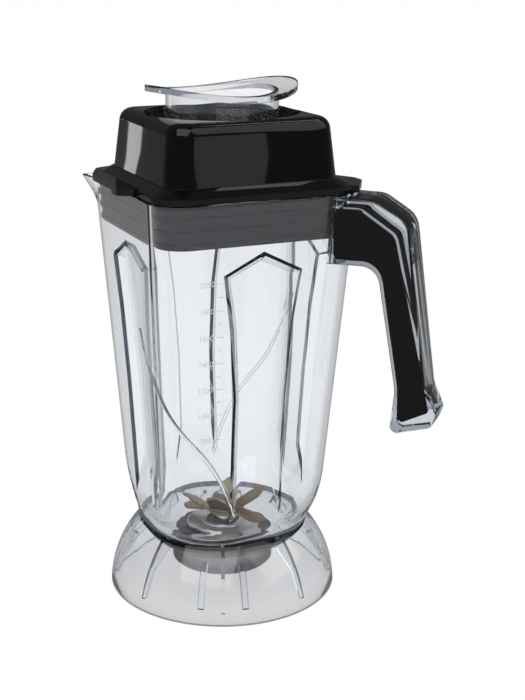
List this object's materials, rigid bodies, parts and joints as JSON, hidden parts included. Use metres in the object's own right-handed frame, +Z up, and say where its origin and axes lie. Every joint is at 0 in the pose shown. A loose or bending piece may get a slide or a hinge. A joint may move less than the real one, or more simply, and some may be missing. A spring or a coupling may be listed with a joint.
{
  "type": "blender jar",
  "caption": "Clear square blender jar with panelled walls, diagonal handle with black grips, pouring lip, round base skirt, bladed bottom bearing, black plug-in lid and clear filler cap",
  "frame": {"origin": "centre of the base skirt's bore, on the plane of its lower rim", "axes": "+Z up the jar's axis; the front face looks along -Y; the handle stands on the corner between +X and -Y"},
  "size_m": [0.1805, 0.1805, 0.3236],
  "materials": {
    "clear_plastic": "clear polished polycarbonate",
    "lid_plastic": "polished black",
    "grip_plastic": "fine satin black",
    "seal_rubber": "dark grey moulded",
    "blade_steel": "stamped and hardened stainless steel",
    "bright_steel": "ground bearing steel",
    "housing_metal": "turned"
  },
  "bodies": {
    "jar": {"jar": "clear_plastic", "handle_grip_front": "grip_plastic", "handle_grip_back": "grip_plastic", "bearing_housing": "housing_metal", "housing_gasket": "seal_rubber", "shaft_seal": "seal_rubber", "upper_outer_race": "bright_steel", "lower_outer_race": "bright_steel", "bearing_spacer": "housing_metal", "snap_ring": "bright_steel", "retaining_nut": "housing_metal"},
    "blade_rotor": {"blade_upper": "blade_steel", "blade_middle": "blade_steel", "blade_lower": "blade_steel", "blade_nut": "blade_steel", "blade_shaft": "bright_steel", "shaft_sleeve": "bright_steel", "upper_inner_race": "bright_steel", "lower_inner_race": "bright_steel"},
    "bearing_balls": {"upper_balls": "bright_steel", "lower_balls": "bright_steel"},
    "lid": {"lid": "lid_plastic", "lid_gasket": "seal_rubber"},
    "filler_cap": {"filler_cap": "clear_plastic"}
  },
  "joints": [
    {"name": "blade_spin", "type": "hinge", "parent": "jar", "child": "blade_rotor", "pos_m": [0, 0, 0.0285], "axis": [0, 0, 1], "continuous": true},
    {"name": "ball_spin", "type": "hinge", "parent": "jar", "child": "bearing_balls", "pos_m": [0, 0, 0.0285], "axis": [0, 0, 1], "continuous": true},
    {"name": "lid_lift", "type": "slide", "parent": "jar", "child": "lid", "axis": [0, 0, 1], "range_m": [0, 0.09]},
    {"name": "cap_lift", "type": "slide", "parent": "lid", "child": "filler_cap", "axis": [0, 0, 1], "range_m": [0, 0.08]}
  ],
  "couplings": [
    {"joint": "ball_spin", "follows": "blade_spin", "ratio": 0.3684}
  ]
}
